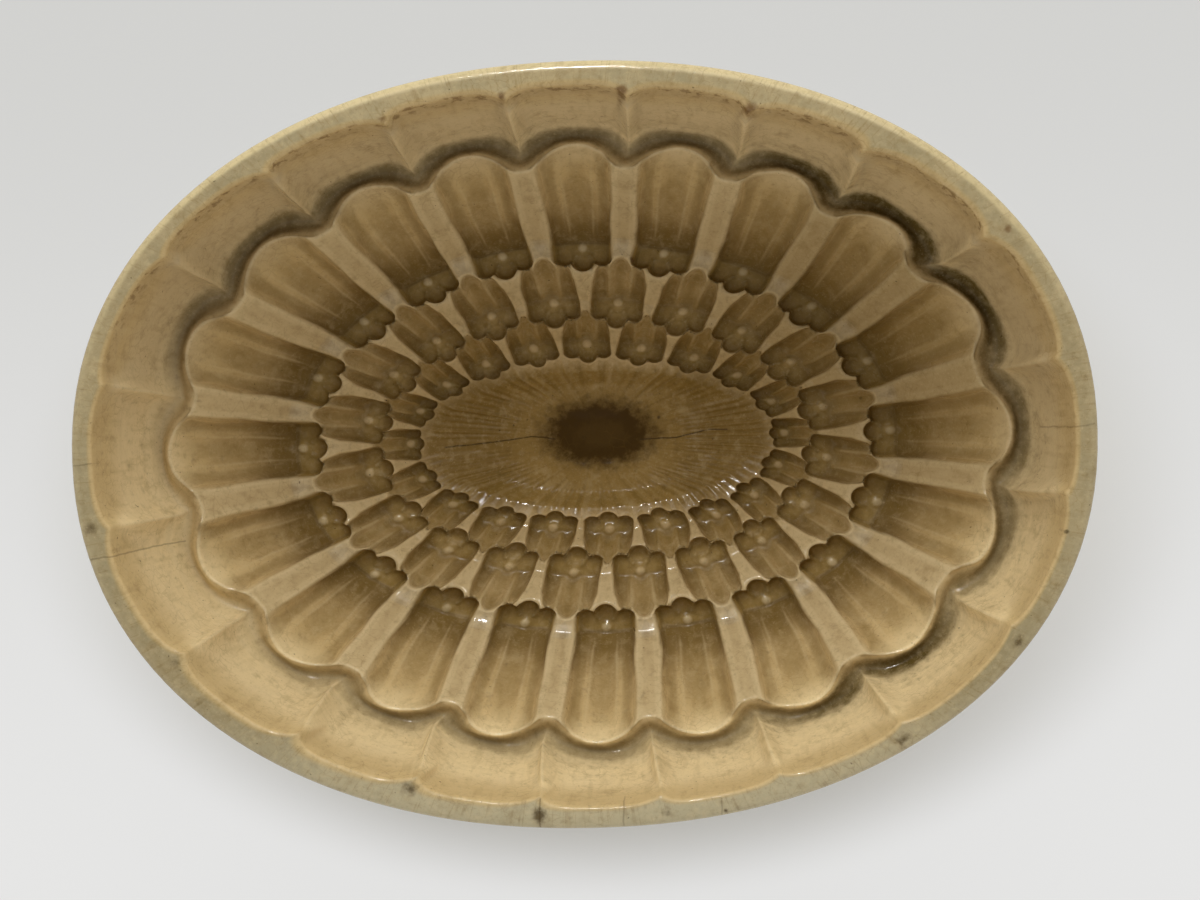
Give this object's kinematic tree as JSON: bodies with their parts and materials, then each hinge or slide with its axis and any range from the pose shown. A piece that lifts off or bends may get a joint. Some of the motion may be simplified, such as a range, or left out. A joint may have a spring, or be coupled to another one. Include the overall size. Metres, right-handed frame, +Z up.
{
  "type": "jelly mould",
  "caption": "Oval glazed earthenware jelly mould, one fired piece with a panelled collar, fluted columns that end in flowers and a shallow bowl in the middle.",
  "frame": {"origin": "middle of the foot's plane, on the surface that the mould stands on", "axes": "+X along the long axis of the oval, +Y along its short axis, +Z up out of the open mouth"},
  "size_m": [0.2, 0.1494, 0.084],
  "materials": {
    "cream_glaze": "glossy cream lead glaze, browned where it pooled in the hollows, finely crazed"
  },
  "bodies": {
    "root": {"mould_body": "cream_glaze"}
  },
  "joints": []
}
